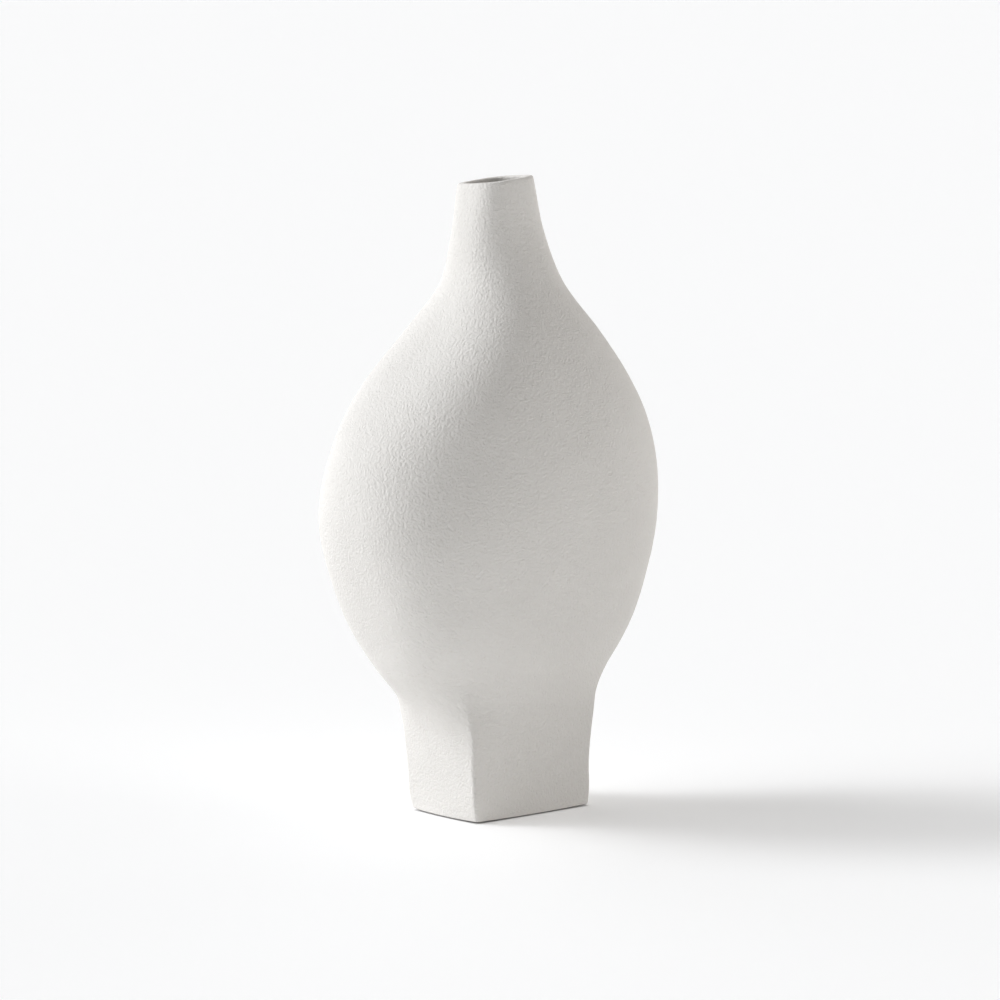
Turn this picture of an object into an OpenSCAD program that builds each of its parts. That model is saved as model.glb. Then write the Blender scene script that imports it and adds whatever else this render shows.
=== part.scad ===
// Ceramic bud vase: a crisp rectangular foot that flares into a flattened,
// pillow-shaped belly and closes to a narrow square neck with a slanted mouth.
// Millimetres, +Z up. X runs along the vase's long side and Y across it. The
// origin is on the table, under the middle of the foot.

/* [Foot] */
// Length of the foot
foot_l = 66.5; // [62:0.5:71]
// Width of the foot
foot_w = 44.5; // [41:0.5:48]

/* [Belly] */
// Length of the belly at its widest level
belly_l = 155.5; // [147:0.5:164]
// Width of the belly at its widest level
belly_w = 104.5; // [96:0.5:112]
// Height of the widest level above the table
belly_h = 132; // [126:1:138]
// How far the belly leans along X from the middle of the foot
belly_lean = -6; // [-6:0.5:6]

/* [Neck] */
// Side of the square mouth
mouth_side = 28.5; // [27:0.5:34]
// Height of the middle of the mouth above the table
vase_h = 269; // [260:1:277]
// Slant of the mouth in degrees
mouth_slant = 6.8; // [0:0.1:10]
// Direction of the mouth's high side, turned from +X towards +Y, in degrees
mouth_turn = -37; // [-90:1:90]

/* [Clay] */
// Thickness of the ceramic wall
wall = 3; // [2.6:0.1:4]
// Thickness of the ceramic floor above the pad's recess
floor_t = 4; // [3:0.5:6]
// Thickness of the glaze inside
glaze_t = 0.3; // [0.2:0.05:0.5]
// Distance from the lip down to the edge of the glaze
glaze_drop = 6; // [4:1:12]

/* [Pad] */
// Thickness of the protective pad
pad_t = 1.6; // [1.2:0.1:2.4]
// Height of the clay above the table
pad_gap = 0.6; // [0.3:0.1:0.9]
// Width of the clay rim around the pad's recess
foot_rim = 6; // [5:0.5:7]

/* [Hidden] */

// Each row is a level of the outside: its share of the way up, then its share
// of the way from the first length and width to the last, how soft its corners
// are (0 is a crisp rectangle, 1 a pillow), the pillow's squareness (2 is an
// ellipse, more is squarer) and its share of the belly's lean.
FOOT_TO_BELLY = [
    [0.00, 0.000, 0.000, 0.20, 2.40, 0.00],
    [0.04, 0.000, 0.000, 0.10, 2.40, 0.09],
    [0.15, 0.015, 0.015, 0.12, 2.40, 0.22],
    [0.30, 0.120, 0.120, 0.43, 2.40, 0.28],
    [0.38, 0.260, 0.205, 0.75, 2.40, 0.37],
    [0.46, 0.470, 0.345, 1.00, 2.40, 0.51],
    [0.58, 0.650, 0.585, 1.00, 2.70, 0.74],
    [0.77, 0.845, 0.835, 1.00, 2.75, 0.96],
    [1.00, 1.000, 1.000, 1.00, 2.45, 1.01]
];
BELLY_TO_MOUTH = [
    [0.18, 0.055, 0.015, 1.00, 2.30, 0.68],
    [0.37, 0.325, 0.180, 1.00, 2.70, 0.33],
    [0.53, 0.630, 0.410, 1.00, 2.85, -0.12],
    [0.68, 0.845, 0.700, 1.00, 2.35, 0.00],
    [0.82, 0.920, 0.905, 1.00, 2.50, 0.34],
    [1.00, 1.000, 1.000, 1.00, 2.90, 0.53]
];
CRISP = 40;             // squareness of the crisp rectangle
foot_bottom = pad_gap;
edge_r = 1;             // rounding of the foot's bottom edge
lip_r = 0.8;            // rounding of the lip's two edges
floor_z = pad_t + floor_t;
glaze_top = vase_h - glaze_drop;
slant_from = 0.75*vase_h;
ring_count = 42;        // levels up the outside
inner_count = 28;       // levels up the inside
quarter = 14;           // points in a quarter of a level
arc_steps = 3;          // levels in a rounded edge

function mix(p, q, f) = p + (q - p)*f;

// The levels as [height, half length, half width, softness, squareness, lean]
function rows(table, from, to) = [for (r = table) [
    mix(from[0], to[0], r[0]), mix(from[1], to[1], r[1])/2, mix(from[2], to[2], r[2])/2,
    r[3], r[4], r[5]*belly_lean
]];
foot_size = [foot_bottom, foot_l, foot_w];
belly_size = [belly_h, belly_l, belly_w];
mouth_size = [vase_h, mouth_side, mouth_side];
LEVELS = concat(rows(FOOT_TO_BELLY, foot_size, belly_size), rows(BELLY_TO_MOUTH, belly_size, mouth_size));

// A smooth curve through the levels: cubic pieces with matched slopes
function rise(i) = (LEVELS[i + 1] - LEVELS[i])/(LEVELS[i + 1][0] - LEVELS[i][0]);
function step_up(i) = LEVELS[i + 1][0] - LEVELS[i][0];
function slope(i) =
    i == 0 ? rise(0) :
    i == len(LEVELS) - 1 ? rise(i - 1) :
    (rise(i - 1)*step_up(i) + rise(i)*step_up(i - 1))/(step_up(i - 1) + step_up(i));
function piece(z, i = 0) = i < len(LEVELS) - 2 && z > LEVELS[i + 1][0] ? piece(z, i + 1) : i;
function level(z) =
    let (i = piece(z), h = step_up(i), t = min(max((z - LEVELS[i][0])/h, 0), 1), u = 1 - t)
    LEVELS[i]*(1 + 2*t)*u*u + LEVELS[i + 1]*(1 + 2*u)*t*t + (slope(i)*u - slope(i + 1)*t)*h*t*u;

// Unit outline of a level, as its radius at an angle
function outline(angle, squareness) =
    pow(pow(abs(cos(angle)), squareness) + pow(abs(sin(angle)), squareness), -1/squareness);
function radius(angle, soft, squareness) =
    mix(outline(angle, CRISP), outline(angle, squareness), min(soft, 1));

// Angles round a level, closer together at the corners
function spread(t) = 90*(t + 0.6*sin(360*t)/(2*PI));
ANGLES = [for (k = [0:3]) for (i = [0:quarter - 1]) 90*k + spread(i/quarter)];

// The slanted cut: how far a point near the mouth is lifted
function ease(t) = let (c = min(max(t, 0), 1)) c*c*(3 - 2*c);
function lift(x, y, z) =
    ease((z - slant_from)/(vase_h - slant_from))*tan(mouth_slant)*
    (x*cos(mouth_turn) + y*sin(mouth_turn));

// Horizontal thickness of a skin of even thickness t, for length and width
function skin(z, t) =
    let (d = 1, up = level(z + d), down = level(z - d), h = up[0] - down[0])
    [t*sqrt(1 + pow((up[1] - down[1])/h, 2)), t*sqrt(1 + pow((up[2] - down[2])/h, 2))];

// One closed ring of points: a level drawn in by a length and a width, at height z_at
function ring(z, inset, z_at, softer = 0) =
    let (v = level(z))
    [for (g = ANGLES)
        let (
            r = radius(g, max(v[3], softer), v[4]),
            x = (v[1] - inset[0])*r*cos(g) + v[5],
            y = (v[2] - inset[1])*r*sin(g)
        )
        [x, y, z_at + lift(x, y, z_at)]
    ];
function middle(points) = [for (k = [0:2]) [for (p = points) p[k]]*[for (p = points) 1/len(points)]];

// A closed solid through a list of rings, from its first middle to its last
module loft(rings) {
    n = len(ANGLES);
    m = len(rings);
    points = concat([middle(rings[0])], [for (r = rings) each r], [middle(rings[m - 1])]);
    function at(i, j) = 1 + i*n + j%n;
    polyhedron(points, concat(
        [for (j = [0:n - 1]) [0, at(0, j), at(0, j + 1)]],
        [for (i = [0:m - 2]) for (j = [0:n - 1]) [at(i, j), at(i + 1, j), at(i + 1, j + 1)]],
        [for (i = [0:m - 2]) for (j = [0:n - 1]) [at(i, j), at(i + 1, j + 1), at(i, j + 1)]],
        [for (j = [0:n - 1]) [m*n + 1, at(m - 1, j + 1), at(m - 1, j)]]
    ));
}

// Rings of the rounded bottom edge, the outside, the lip and the inside
function foot_edge() = [for (i = [0:arc_steps - 1])
    let (a = 90*i/arc_steps, z = foot_bottom + edge_r*(1 - cos(a)), d = edge_r*(1 - sin(a)))
    ring(z, [d, d], z)];
function outside() = [for (i = [0:ring_count])
    let (z = mix(foot_bottom + edge_r, vase_h - lip_r, i/ring_count)) ring(z, [0, 0], z)];
function lip_edge(d0, side) = [for (i = [0:arc_steps])
    let (a = 90*(side > 0 ? i : arc_steps - i)/arc_steps, d = d0 + side*lip_r*(1 - cos(a)))
    ring(vase_h, [d, d], vase_h - lip_r*(1 - sin(a)))];
function inside(depth, top) = [for (i = [0:inner_count])
    let (z = mix(top, floor_z + 1.5*wall, i/inner_count))
    ring(z, skin(z, depth), z, 0.3)];
function inner_floor(depth) = [for (a = [30, 60, 90])
    let (z = floor_z + 1.5*wall, rise = depth - wall, r = 1.5*wall - rise, s = skin(z, depth), d = r*(1 - cos(a)))
    ring(z, [s[0] + d, s[1] + d], z - r*sin(a), 0.3)];
function recess(z) = [ring(foot_bottom, [foot_rim, foot_rim], z)];

module vase_body() {
    color([0.93, 0.92, 0.9])
    loft(concat(
        recess(pad_t), recess(foot_bottom), foot_edge(), outside(),
        lip_edge(0, 1), lip_edge(wall, -1),
        inside(wall, glaze_top), inner_floor(wall)
    ));
}

module liner_glaze() {
    wet = concat(inside(wall, glaze_top), inner_floor(wall));
    dry = concat(inside(wall + glaze_t, glaze_top), inner_floor(wall + glaze_t));
    color([0.88, 0.87, 0.84])
    loft(concat([for (i = [len(wet) - 1:-1:0]) wet[i]], dry));
}

// The pad is a rectangle with round corners, half a millimetre clear of the recess
module base_pad() {
    l = foot_l - 2*foot_rim - 2;
    w = foot_w - 2*foot_rim - 2;
    r = 5;
    color([0.35, 0.34, 0.33])
    linear_extrude(pad_t) {
        square([l - 2*r, w], center = true);
        square([l, w - 2*r], center = true);
        for (x = [-1, 1], y = [-1, 1])
            translate([x*(l/2 - r), y*(w/2 - r)]) circle(r, $fn = 48);
    }
}

vase_body();
liner_glaze();
base_pad();
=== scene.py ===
"""Ceramic bud vase: the visible model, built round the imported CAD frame.

The vase stands on its rectangular foot. X runs along its long side, Y across it
and Z up, in metres, with the origin on the table under the middle of the foot.
"""

import math

import bpy
import numpy as np
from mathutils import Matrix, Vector, noise


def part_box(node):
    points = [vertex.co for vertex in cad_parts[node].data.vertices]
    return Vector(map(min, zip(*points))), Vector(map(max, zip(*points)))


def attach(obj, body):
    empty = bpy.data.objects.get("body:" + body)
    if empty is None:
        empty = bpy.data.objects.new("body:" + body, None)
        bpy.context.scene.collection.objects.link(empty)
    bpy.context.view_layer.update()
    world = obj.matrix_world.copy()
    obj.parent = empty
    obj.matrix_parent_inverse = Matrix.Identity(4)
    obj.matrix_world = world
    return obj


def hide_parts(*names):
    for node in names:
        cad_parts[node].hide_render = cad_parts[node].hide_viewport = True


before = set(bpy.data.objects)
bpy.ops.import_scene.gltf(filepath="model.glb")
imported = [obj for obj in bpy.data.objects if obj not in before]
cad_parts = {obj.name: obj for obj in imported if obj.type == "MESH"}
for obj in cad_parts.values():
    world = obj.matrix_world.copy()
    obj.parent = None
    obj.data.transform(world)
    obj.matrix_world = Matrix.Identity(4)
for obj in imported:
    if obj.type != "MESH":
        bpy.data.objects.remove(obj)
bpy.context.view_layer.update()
BODY_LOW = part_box("vase_body")[0]
LINER_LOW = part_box("liner_glaze")[0]
PAD_LOW, PAD_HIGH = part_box("base_pad")
MM = 0.001

# ---- the vase's form, by the same levels as the CAD part ----------------------
FOOT_L, FOOT_W = 66.5*MM, 44.5*MM
BELLY_L, BELLY_W, BELLY_H, BELLY_LEAN = 155.5*MM, 104.5*MM, 132*MM, -6*MM
MOUTH_SIDE, VASE_H = 28.5*MM, 269*MM
MOUTH_SLANT, MOUTH_TURN = math.radians(6.8), math.radians(-37)
WALL, GLAZE_T, GLAZE_DROP = 3*MM, 0.3*MM, 6*MM
FOOT_BOTTOM = BODY_LOW.z
FLOOR_Z = LINER_LOW.z        # the clay floor inside
RECESS_Z = PAD_HIGH.z        # the roof of the recess under the foot
FOOT_RIM, EDGE_R, LIP_R = 6*MM, 1*MM, 0.8*MM
INNER_EDGE_R = 1.5*WALL      # rounding between the inner wall and floor
INNER_SOFT = 0.3             # least softness of the inside's corners
SLANT_FROM = 0.75*VASE_H     # where the mouth's slant starts
CRISP = 40                   # squareness of the crisp rectangle

# Share of the way up, share of the change in length and in width, softness of
# the corners, squareness of the soft outline, share of the belly's lean
FOOT_TO_BELLY = [
    (0.00, 0.000, 0.000, 0.20, 2.40, 0.00),
    (0.04, 0.000, 0.000, 0.10, 2.40, 0.09),
    (0.15, 0.015, 0.015, 0.12, 2.40, 0.22),
    (0.30, 0.120, 0.120, 0.43, 2.40, 0.28),
    (0.38, 0.260, 0.205, 0.75, 2.40, 0.37),
    (0.46, 0.470, 0.345, 1.00, 2.40, 0.51),
    (0.58, 0.650, 0.585, 1.00, 2.70, 0.74),
    (0.77, 0.845, 0.835, 1.00, 2.75, 0.96),
    (1.00, 1.000, 1.000, 1.00, 2.45, 1.01),
]
BELLY_TO_MOUTH = [
    (0.18, 0.055, 0.015, 1.00, 2.30, 0.68),
    (0.37, 0.325, 0.180, 1.00, 2.70, 0.33),
    (0.53, 0.630, 0.410, 1.00, 2.85, -0.12),
    (0.68, 0.845, 0.700, 1.00, 2.35, 0.00),
    (0.82, 0.920, 0.905, 1.00, 2.50, 0.34),
    (1.00, 1.000, 1.000, 1.00, 2.90, 0.53),
]
AROUND = 288       # points round a level
RINGS_OUT = 250    # levels up the outside
RINGS_IN = 56      # levels down the inside
ARC_STEPS = 6      # levels in a rounded edge


def rows(table, start, end):
    """The levels as height, half length, half width, softness, squareness, lean."""
    t = np.array(table)
    start, end = np.array(start), np.array(end)
    sizes = start + (end - start)*t[:, :3]
    return np.column_stack([sizes[:, 0], sizes[:, 1:]/2, t[:, 3:5], t[:, 5]*BELLY_LEAN])


LEVELS = np.concatenate([
    rows(FOOT_TO_BELLY, (FOOT_BOTTOM, FOOT_L, FOOT_W), (BELLY_H, BELLY_L, BELLY_W)),
    rows(BELLY_TO_MOUTH, (BELLY_H, BELLY_L, BELLY_W), (VASE_H, MOUTH_SIDE, MOUTH_SIDE)),
])


def level(z):
    """The level at each height of z, on a smooth curve through LEVELS."""
    z = np.atleast_1d(np.asarray(z, float))
    step = np.diff(LEVELS[:, 0])
    rise = np.diff(LEVELS, axis=0)/step[:, None]
    slope = np.concatenate([
        rise[:1],
        (rise[:-1]*step[1:, None] + rise[1:]*step[:-1, None])/(step[1:] + step[:-1])[:, None],
        rise[-1:],
    ])
    i = np.clip(np.searchsorted(LEVELS[:, 0], z) - 1, 0, len(step) - 1)
    h = step[i][:, None]
    t = np.clip((z - LEVELS[i, 0])/step[i], 0, 1)[:, None]
    u = 1 - t
    return (LEVELS[i]*(1 + 2*t)*u*u + LEVELS[i + 1]*(1 + 2*u)*t*t
            + (slope[i]*u - slope[i + 1]*t)*h*t*u)


def outline(angle, squareness):
    """Radius at an angle of an outline of half size 1."""
    return (np.abs(np.cos(angle))**squareness + np.abs(np.sin(angle))**squareness)**(-1/squareness)


def ring(z, inset=(0.0, 0.0), z_at=None, softer=0.0):
    """One closed ring of points: a level drawn in by inset, at height z_at."""
    z = np.broadcast_to(np.asarray(z, float), (AROUND,))
    z_at = z if z_at is None else z_at
    v = level(z)
    soft = np.clip(np.maximum(v[:, 3], softer), 0, 1)
    per_quarter = AROUND//4
    quarter, i = np.divmod(np.arange(AROUND), per_quarter)
    t = i/per_quarter
    closer = 0.6 - 0.45*soft  # how much the points crowd into the corners
    angle = math.pi/2*(quarter + t + closer*np.sin(2*math.pi*t)/(2*math.pi))
    r = outline(angle, CRISP)*(1 - soft) + outline(angle, v[:, 4])*soft
    x = (v[:, 1] - inset[0])*r*np.cos(angle) + v[:, 5]
    y = (v[:, 2] - inset[1])*r*np.sin(angle)
    c = np.clip((z_at - SLANT_FROM)/(VASE_H - SLANT_FROM), 0, 1)
    towards_high_side = x*math.cos(MOUTH_TURN) + y*math.sin(MOUTH_TURN)
    lift = c*c*(3 - 2*c)*math.tan(MOUTH_SLANT)*towards_high_side
    return np.column_stack([x, y, z_at + lift])


def skin(z, thick):
    """Horizontal thickness, along the length and the width, of an even skin."""
    d = 1*MM
    up, down = level(z + d), level(z - d)
    h = up[:, 0] - down[:, 0]
    return (thick*np.sqrt(1 + ((up[:, 1] - down[:, 1])/h)**2),
            thick*np.sqrt(1 + ((up[:, 2] - down[:, 2])/h)**2))


# ---- mesh helpers -------------------------------------------------------------
def closed_mesh(name, rings):
    """A closed mesh through rings of equal length, with a middle point at each end."""
    n = len(rings[0])
    points = np.concatenate([rings[0].mean(0)[None], *rings, rings[-1].mean(0)[None]])
    here = np.arange(n)
    along = (here + 1) % n
    faces = [[0, 1 + b, 1 + a] for a, b in zip(here, along)]
    for low in range(1, 1 + (len(rings) - 1)*n, n):
        high = low + n
        faces += np.column_stack([low + here, low + along, high + along, high + here]).tolist()
    last = len(points) - 1
    faces += [[last, last - n + a, last - n + b] for a, b in zip(here, along)]
    mesh = bpy.data.meshes.new(name)
    mesh.from_pydata(points.tolist(), [], faces)
    mesh.shade_smooth()
    obj = bpy.data.objects.new(name, mesh)
    bpy.context.scene.collection.objects.link(obj)
    return obj


def bumps(p, pitch, shift):
    """Smooth noise of about that pitch at a point, from -1 to 1. Shift picks the pattern."""
    return noise.noise(Vector(p)/pitch + Vector((shift, 1.7*shift, -shift)))


def swell(obj, height_at):
    """Moves each point along its normal by height_at(point)."""
    mesh = obj.data
    points = np.empty(len(mesh.vertices)*3)
    mesh.vertices.foreach_get("co", points)
    points = points.reshape(-1, 3)
    normals = np.empty(len(mesh.vertices)*3, np.float32)
    mesh.vertex_normals.foreach_get("vector", normals)
    normals = normals.reshape(-1, 3)
    heights = np.array([height_at(p) for p in points])
    mesh.vertices.foreach_set("co", (points + normals*heights[:, None]).ravel())
    mesh.update()


# ---- the pieces ---------------------------------------------------------------
def inside_rings(depth, top):
    """Rings down the inner wall from the height top to the rounded inner floor."""
    base = FLOOR_Z + INNER_EDGE_R
    rings = []
    for i in range(RINGS_IN + 1):
        z = np.broadcast_to(top + (base - top)*i/RINGS_IN, (AROUND,))
        rings.append(ring(z, skin(z, depth), softer=INNER_SOFT))
    z = np.full(AROUND, base)
    in_x, in_y = skin(z, depth)
    r = INNER_EDGE_R - (depth - WALL)
    for i in range(1, ARC_STEPS + 1):
        a = math.pi/2*i/ARC_STEPS
        d = r*(1 - math.cos(a))
        rings.append(ring(z, (in_x + d, in_y + d), z - r*math.sin(a), INNER_SOFT))
    return rings


def recess_rings():
    """Rings from the recess's roof down its wall to the flat rim of the foot."""
    steps = [
        (8*MM, RECESS_Z), (2*MM, RECESS_Z), (0.0, RECESS_Z),
        (0.0, FOOT_BOTTOM + 0.3*MM), (-0.1*MM, FOOT_BOTTOM + 0.1*MM),
        (-0.3*MM, FOOT_BOTTOM), (-2*MM, FOOT_BOTTOM),
    ]
    return [ring(FOOT_BOTTOM, (FOOT_RIM + d, FOOT_RIM + d), np.full(AROUND, z)) for d, z in steps]


def foot_edge_rings():
    """Rings round the foot's rounded bottom edge."""
    rings = []
    for i in range(ARC_STEPS):
        a = math.pi/2*i/ARC_STEPS
        d = EDGE_R*(1 - math.sin(a))
        rings.append(ring(FOOT_BOTTOM + EDGE_R*(1 - math.cos(a)), (d, d)))
    return rings


def outside_rings():
    start, end = FOOT_BOTTOM + EDGE_R, VASE_H - LIP_R
    return [ring(start + (end - start)*i/RINGS_OUT) for i in range(RINGS_OUT + 1)]


def lip_rings():
    """Rings over the lip: its rounded outer edge, then its rounded inner edge."""
    rings = []
    for start, side in ((0.0, 1), (WALL, -1)):
        for i in range(1, ARC_STEPS + 1):
            a = math.pi/2*(i if side > 0 else ARC_STEPS - i)/ARC_STEPS
            d = start + side*LIP_R*(1 - math.cos(a))
            z = VASE_H - LIP_R*(1 - math.sin(a))
            rings.append(ring(VASE_H, (d, d), np.full(AROUND, z)))
    return rings


def make_vase():
    rings = (recess_rings() + foot_edge_rings() + outside_rings() + lip_rings()
             + inside_rings(WALL, VASE_H - 2*LIP_R))
    vase = closed_mesh("vase_body_clay", rings)
    vase.data.set_sharp_from_angle(angle=math.radians(50))

    def hand_made(p):
        """Faint swells that fade out towards the foot's bottom edge."""
        fade = min(1, max(0, (p[2] - FOOT_BOTTOM - EDGE_R)/(8*MM)))
        return fade*(0.10*MM*bumps(p, 22*MM, 3.1) + 0.035*MM*bumps(p, 6*MM, 8.2))

    swell(vase, hand_made)
    return vase


def make_liner():
    """The glaze inside, with a slightly wavy top edge."""
    angle = np.arange(AROUND)/AROUND*2*math.pi
    wave = 0.5*np.sin(3*angle + 0.4) + 0.3*np.sin(7*angle + 1.9) + 0.2*np.sin(13*angle)
    edge_wave, edge_taper = 0.4*MM, 0.15*MM
    top = VASE_H - GLAZE_DROP - edge_wave + edge_wave*wave
    wet = inside_rings(WALL, top)
    dry = inside_rings(WALL + GLAZE_T, top - edge_taper)
    liner = closed_mesh("liner_glaze_coat", wet[::-1] + dry)
    liner.data.set_sharp_from_angle(angle=math.radians(60))
    return liner


def pad_ring(inset, z):
    """Points round the pad's outline, a rectangle with round corners, drawn in by inset."""
    length, width, corner_r = PAD_HIGH.x - PAD_LOW.x, PAD_HIGH.y - PAD_LOW.y, 5*MM
    per_corner, per_side = 14, 22

    def corner(q):
        x = (length/2 - corner_r)*(1 if q in (0, 3) else -1)
        y = (width/2 - corner_r)*(1 if q in (0, 1) else -1)
        a = math.pi/2*(q + np.arange(per_corner)/(per_corner - 1))
        return np.array([x, y]) + (corner_r - inset)*np.column_stack([np.cos(a), np.sin(a)])

    t = np.arange(1, per_side)[:, None]/per_side
    points = []
    for q in range(4):
        here, following = corner(q), corner((q + 1) % 4)
        points += [here, here[-1] + (following[0] - here[-1])*t]
    xy = np.concatenate(points)
    return np.column_stack([xy, np.full(len(xy), z)])


def make_pad():
    """A felt pad with soft edges and a fibrous side."""
    low, high = PAD_LOW.z, PAD_HIGH.z
    edge = [(4*MM, 0), (1.5*MM, 0), (0.35*MM, 0), (0.12*MM, 0.08*MM), (0.0, 0.3*MM)]
    profile = ([(d, low + z) for d, z in edge] + [(0.0, (low + high)/2)]
               + [(d, high - z) for d, z in reversed(edge)])
    pad = closed_mesh("base_pad_felt", [pad_ring(d, z) for d, z in profile])

    def fibres(p):
        fade = min(1, max(0, min(p[2] - low, high - p[2])/(0.2*MM)))
        return fade*0.08*MM*bumps(p, 0.7*MM, 5.5)

    swell(pad, fibres)
    return pad


# ---- materials ----------------------------------------------------------------
class Nodes:
    """A short way to write a node tree."""

    def __init__(self, name):
        self.mat = bpy.data.materials.new(name)
        self.mat.use_nodes = True
        self.tree = self.mat.node_tree
        self.shader = self.tree.nodes["Principled BSDF"]
        self.coords = self.add("ShaderNodeTexCoord").outputs["Object"]

    def add(self, kind, links=(), **settings):
        node = self.tree.nodes.new(kind)
        for key, value in settings.items():
            setattr(node, key, value)
        for socket, value in dict(links).items():
            target = node.inputs[socket]
            if isinstance(value, bpy.types.NodeSocket):
                self.tree.links.new(value, target)
            else:
                target.default_value = value
        return node

    def noise(self, pitch, detail=2.0, roughness=0.5, distortion=0.0):
        return self.add("ShaderNodeTexNoise", {
            "Vector": self.coords, "Scale": 1/pitch, "Detail": detail,
            "Roughness": roughness, "Distortion": distortion}).outputs["Fac"]

    def spread(self, value, low, high, to_low, to_high):
        """A value from low to high, stretched to run from to_low to to_high."""
        return self.add("ShaderNodeMapRange", {
            "Value": value, "From Min": low, "From Max": high,
            "To Min": to_low, "To Max": to_high}).outputs["Result"]

    def mix(self, fac, a, b):
        """The colour between a and b by fac."""
        return self.add("ShaderNodeMix", {0: fac, 6: a, 7: b}, data_type="RGBA").outputs[2]

    def bump(self, height, distance, normal=None):
        links = {"Height": height, "Distance": distance}
        if normal is not None:
            links["Normal"] = normal
        return self.add("ShaderNodeBump", links).outputs["Normal"]

    def set(self, **values):
        """Sets or links the shader's own sockets."""
        for key, value in values.items():
            socket = self.shader.inputs[key.replace("_", " ")]
            if isinstance(value, bpy.types.NodeSocket):
                self.tree.links.new(value, socket)
            else:
                socket.default_value = value


def clay_material():
    """Matte off-white stoneware with a sandy, pebbly skin."""
    n = Nodes("clay_offwhite")
    pebble = n.noise(1.05*MM, detail=1.0, roughness=0.4)
    sand = n.noise(0.6*MM, detail=1.0)
    swells = n.noise(9*MM, detail=1.0)
    normal = n.bump(swells, 0.15*MM)
    normal = n.bump(pebble, 0.50*MM, normal)
    normal = n.bump(sand, 0.14*MM, normal)
    tone = n.mix(n.spread(n.noise(30*MM, 3.0), 0.35, 0.65, 0, 1),
                 (0.745, 0.725, 0.695, 1), (0.765, 0.745, 0.715, 1))
    speck = n.mix(n.spread(n.noise(1.1*MM, 1.0), 0.66, 0.74, 0, 0.25),
                  tone, (0.62, 0.58, 0.52, 1))
    n.set(Base_Color=speck, Normal=normal,
          Roughness=n.spread(pebble, 0.3, 0.7, 0.80, 0.92), Specular_IOR_Level=0.25)
    return n.mat


def glaze_material():
    """Glossy clear-white glaze with a faint ripple."""
    n = Nodes("liner_white_glaze")
    tone = n.mix(n.noise(12*MM, 2.0), (0.80, 0.78, 0.74, 1), (0.74, 0.72, 0.68, 1))
    n.set(Base_Color=tone, Normal=n.bump(n.noise(5*MM, 1.0), 0.05*MM),
          Roughness=n.spread(n.noise(3*MM, 2.0), 0.3, 0.7, 0.10, 0.22),
          Coat_Weight=0.6, Coat_Roughness=0.08)
    return n.mat


def felt_material():
    """Warm grey felt."""
    n = Nodes("pad_grey_felt")
    fibre = n.noise(0.35*MM, detail=4.0, roughness=0.7, distortion=2.5)
    tone = n.mix(n.spread(fibre, 0.3, 0.7, 0, 1),
                 (0.035, 0.033, 0.031, 1), (0.11, 0.105, 0.10, 1))
    n.set(Base_Color=tone, Normal=n.bump(fibre, 0.15*MM), Roughness=0.95,
          Specular_IOR_Level=0.1, Sheen_Weight=0.4, Sheen_Roughness=0.6)
    return n.mat


# ---- the stage ----------------------------------------------------------------
VIEW_TURN = math.radians(41)   # how far round the vase the camera stands
WHITE = 0.956                  # brightness of the surroundings, the same as the lit floor
FLOOR_PAINT = 0.88             # share of the light that the floor sends back
FLOOR_GLOW = 0.20              # brightness that it adds to that
# The lights are far and soft: direction from the camera's side towards its
# right, height above the horizon, strength. Directions are in degrees.
KEYS = [(-106, 38, 0.52), (-94, 33, 0.71)]
FILLS = [
    (0, 12, 0.17), (45, 12, 0.12), (90, 12, 0.48), (135, 12, 0.81), (-135, 12, 0.48),
    (-90, 12, 1.02), (-45, 12, 0.33), (90, 40, 0.34), (150, 40, 0.07),
    (-150, 40, 0.39), (-90, 40, 0.75), (0, 80, 0.23),
]
KEY_SPREAD, FILL_SPREAD = 16, 50   # how wide they look, in degrees
COOL, WARM = (0.985, 1.0, 1.022), (1.025, 1.0, 0.975)


def camera_side(right, back, up):
    """A point given as metres to the camera's right, away from it and up."""
    c, s = math.cos(VIEW_TURN), math.sin(VIEW_TURN)
    return Vector((right*c + back*s, -right*s + back*c, up))


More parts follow.
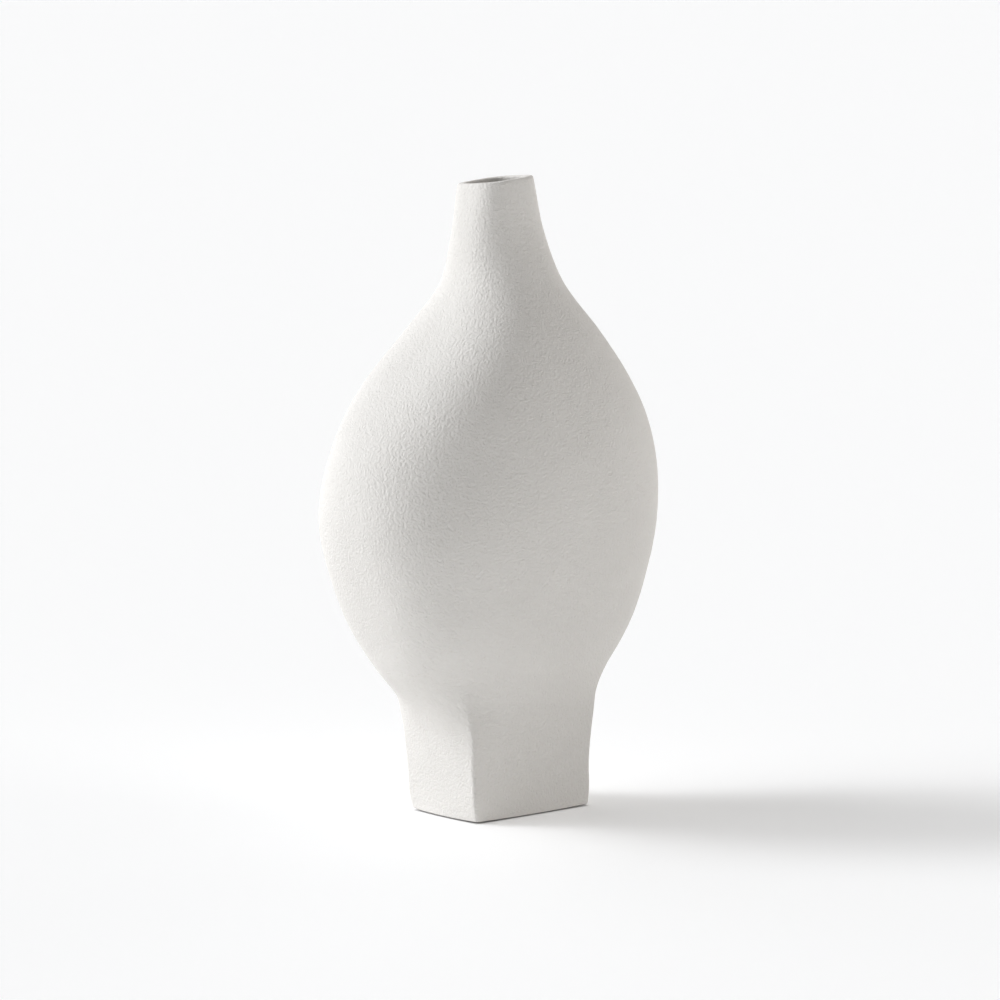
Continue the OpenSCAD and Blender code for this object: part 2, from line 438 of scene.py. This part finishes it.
def make_floor():
    """A wide floor of white paper with a faint glow, but none in the foot's shade."""
    far, foot_x, foot_y = 80.0, FOOT_L/2 - 1*MM, FOOT_W/2 - 1*MM
    points = [(x*half_x, y*half_y, 0) for half_x, half_y in ((far, far), (foot_x, foot_y))
              for x, y in ((-1, -1), (1, -1), (1, 1), (-1, 1))]
    around = [(i, (i + 1) % 4, 4 + (i + 1) % 4, 4 + i) for i in range(4)]
    under_foot = (4, 5, 6, 7)
    mesh = bpy.data.meshes.new("floor")
    mesh.from_pydata(points, [], around + [under_foot])
    for name, glow in (("floor_white", FLOOR_GLOW), ("floor_under_foot", 0.0)):
        n = Nodes(name)
        n.set(Base_Color=(FLOOR_PAINT, FLOOR_PAINT, FLOOR_PAINT, 1), Roughness=1.0,
              Specular_IOR_Level=0.0, Emission_Color=(1, 1, 1, 1), Emission_Strength=glow)
        mesh.materials.append(n.mat)
    mesh.polygons[len(around)].material_index = 1
    floor = bpy.data.objects.new("floor", mesh)
    bpy.context.scene.collection.objects.link(floor)


def make_camera():
    down = math.radians(7.598)   # how far it looks down
    distance, side_step, height = 2.1, 0.34*MM, 0.4127
    data = bpy.data.cameras.new("camera")
    data.sensor_width, data.lens = 36, 180
    data.clip_start, data.clip_end = 0.05, 300
    cam = bpy.data.objects.new("camera", data)
    cam.location = camera_side(-side_step, -distance, height)
    cam.rotation_euler = (math.pi/2 - down, 0, -VIEW_TURN)
    bpy.context.scene.collection.objects.link(cam)
    bpy.context.scene.camera = cam


def soft_sun(name, azimuth, height, strength, spread):
    """A far light as wide as spread degrees. Light from the left is cooler."""
    a, e = math.radians(azimuth), math.radians(height)
    data = bpy.data.lights.new(name, "SUN")
    data.energy, data.angle = strength, math.radians(spread)
    data.color = COOL if azimuth < 0 else WARM
    light = bpy.data.objects.new(name, data)
    light.rotation_mode = "QUATERNION"
    to_light = camera_side(math.sin(a)*math.cos(e), -math.cos(a)*math.cos(e), math.sin(e))
    light.rotation_quaternion = to_light.to_track_quat("Z", "Y")
    bpy.context.scene.collection.objects.link(light)


def make_lights():
    for name, lights, spread in (("key", KEYS, KEY_SPREAD), ("fill", FILLS, FILL_SPREAD)):
        for azimuth, height, strength in lights:
            soft_sun(f"{name}_{azimuth}_{height}", azimuth, height, strength, spread)


def make_surroundings():
    """A white studio that the camera sees; the lights do the lighting."""
    world = bpy.data.worlds.new("studio")
    bpy.context.scene.world = world
    world.use_nodes = True
    background = world.node_tree.nodes["Background"]
    background.inputs["Color"].default_value = (1, 1, 1, 1)
    background.inputs["Strength"].default_value = WHITE
    world.cycles_visibility.diffuse = False
    bpy.context.scene.view_settings.view_transform = "Standard"


# ---- the assembly -------------------------------------------------------------
def place(piece, node, material):
    piece.data.materials.append(material)
    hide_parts(node)
    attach(piece, "root")


place(make_vase(), "vase_body", clay_material())
place(make_liner(), "liner_glaze", glaze_material())
place(make_pad(), "base_pad", felt_material())
make_floor()
make_camera()
make_lights()
make_surroundings()
